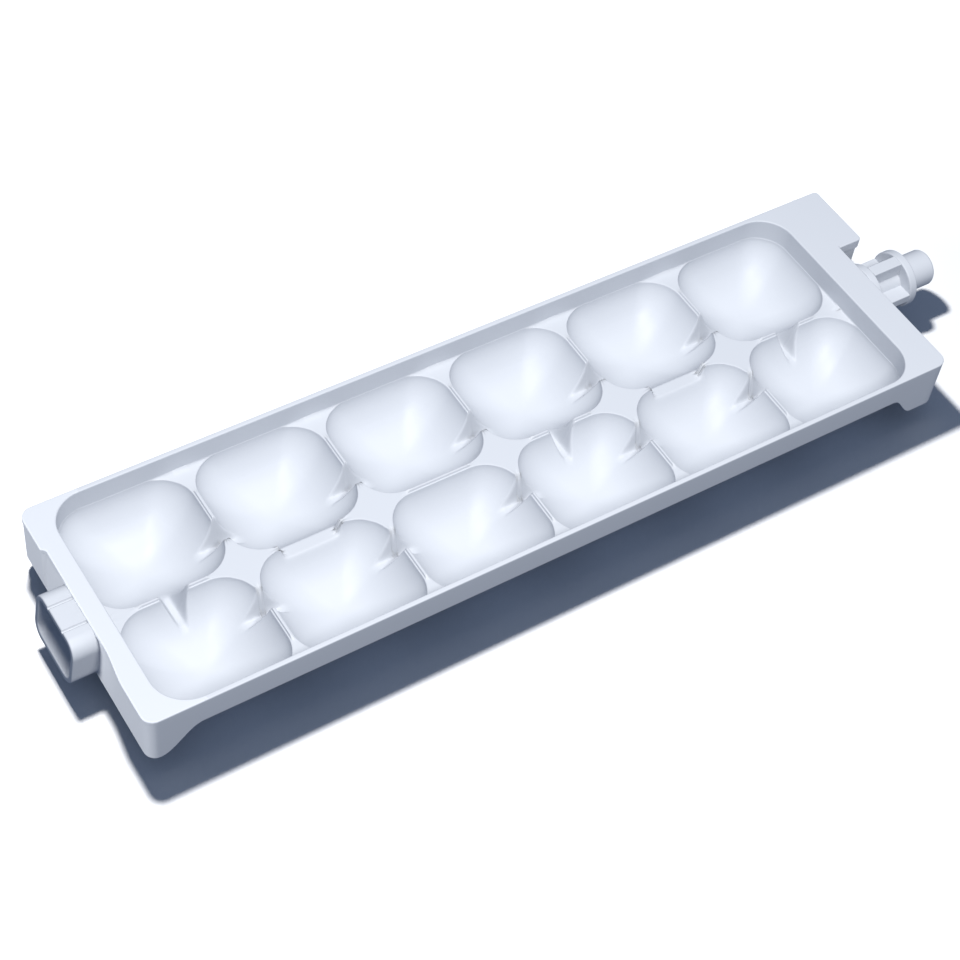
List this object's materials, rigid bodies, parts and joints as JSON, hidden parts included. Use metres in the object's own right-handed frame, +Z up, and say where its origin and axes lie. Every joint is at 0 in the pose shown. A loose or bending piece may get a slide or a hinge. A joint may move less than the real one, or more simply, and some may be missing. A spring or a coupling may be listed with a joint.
{
  "type": "twist ice tray",
  "caption": "Ice maker twist tray with two rows of rounded bowl cups inside a raised rim, a drive socket at one end and a ribbed pivot and stop lug at the other.",
  "frame": {"origin": "on the turning axis, in the middle of the drive socket's mouth", "axes": "+X along the turning axis from the drive socket to the pivot pin, +Y to the rear, +Z up out of the cups"},
  "size_m": [0.288, 0.074, 0.0227],
  "materials": {
    "tray_white": "satin"
  },
  "bodies": {
    "bay_1": {"cup_front_1": "tray_white", "cup_rear_1": "tray_white", "rim_front_1": "tray_white", "rim_rear_1": "tray_white", "land_drive": "tray_white", "end_wall_drive": "tray_white", "corner_drive_front": "tray_white", "corner_drive_rear": "tray_white", "drive_socket": "tray_white"},
    "bay_2": {"cup_front_2": "tray_white", "cup_rear_2": "tray_white", "rim_front_2": "tray_white", "rim_rear_2": "tray_white"},
    "bay_3": {"cup_front_3": "tray_white", "cup_rear_3": "tray_white", "rim_front_3": "tray_white", "rim_rear_3": "tray_white"},
    "bay_4": {"cup_front_4": "tray_white", "cup_rear_4": "tray_white", "rim_front_4": "tray_white", "rim_rear_4": "tray_white"},
    "bay_5": {"cup_front_5": "tray_white", "cup_rear_5": "tray_white", "rim_front_5": "tray_white", "rim_rear_5": "tray_white"},
    "bay_6": {"cup_front_6": "tray_white", "cup_rear_6": "tray_white", "rim_front_6": "tray_white", "rim_rear_6": "tray_white", "land_pivot": "tray_white", "end_wall_pivot": "tray_white", "corner_pivot_front": "tray_white", "corner_pivot_rear": "tray_white", "pivot_disc": "tray_white", "pivot_hub": "tray_white", "pivot_collar": "tray_white", "pivot_pin": "tray_white", "stop_lug": "tray_white"}
  },
  "joints": [
    {"name": "twist_6_5", "type": "hinge", "parent": "bay_6", "child": "bay_5", "pos_m": [0.2124, 0, 0], "axis": [1, 0, 0], "range_deg": [-5, 5], "stiffness_Nm_per_rad": 3},
    {"name": "twist_5_4", "type": "hinge", "parent": "bay_5", "child": "bay_4", "pos_m": [0.1724, 0, 0], "axis": [1, 0, 0], "range_deg": [-5, 5], "stiffness_Nm_per_rad": 3},
    {"name": "twist_4_3", "type": "hinge", "parent": "bay_4", "child": "bay_3", "pos_m": [0.1324, 0, 0], "axis": [1, 0, 0], "range_deg": [-5, 5], "stiffness_Nm_per_rad": 3},
    {"name": "twist_3_2", "type": "hinge", "parent": "bay_3", "child": "bay_2", "pos_m": [0.0924, 0, 0], "axis": [1, 0, 0], "range_deg": [-5, 5], "stiffness_Nm_per_rad": 3},
    {"name": "twist_2_1", "type": "hinge", "parent": "bay_2", "child": "bay_1", "pos_m": [0.0524, 0, 0], "axis": [1, 0, 0], "range_deg": [-5, 5], "stiffness_Nm_per_rad": 3}
  ],
  "couplings": [
    {"joint": "twist_5_4", "follows": "twist_6_5", "ratio": 1},
    {"joint": "twist_4_3", "follows": "twist_6_5", "ratio": 1},
    {"joint": "twist_3_2", "follows": "twist_6_5", "ratio": 1},
    {"joint": "twist_2_1", "follows": "twist_6_5", "ratio": 1}
  ]
}
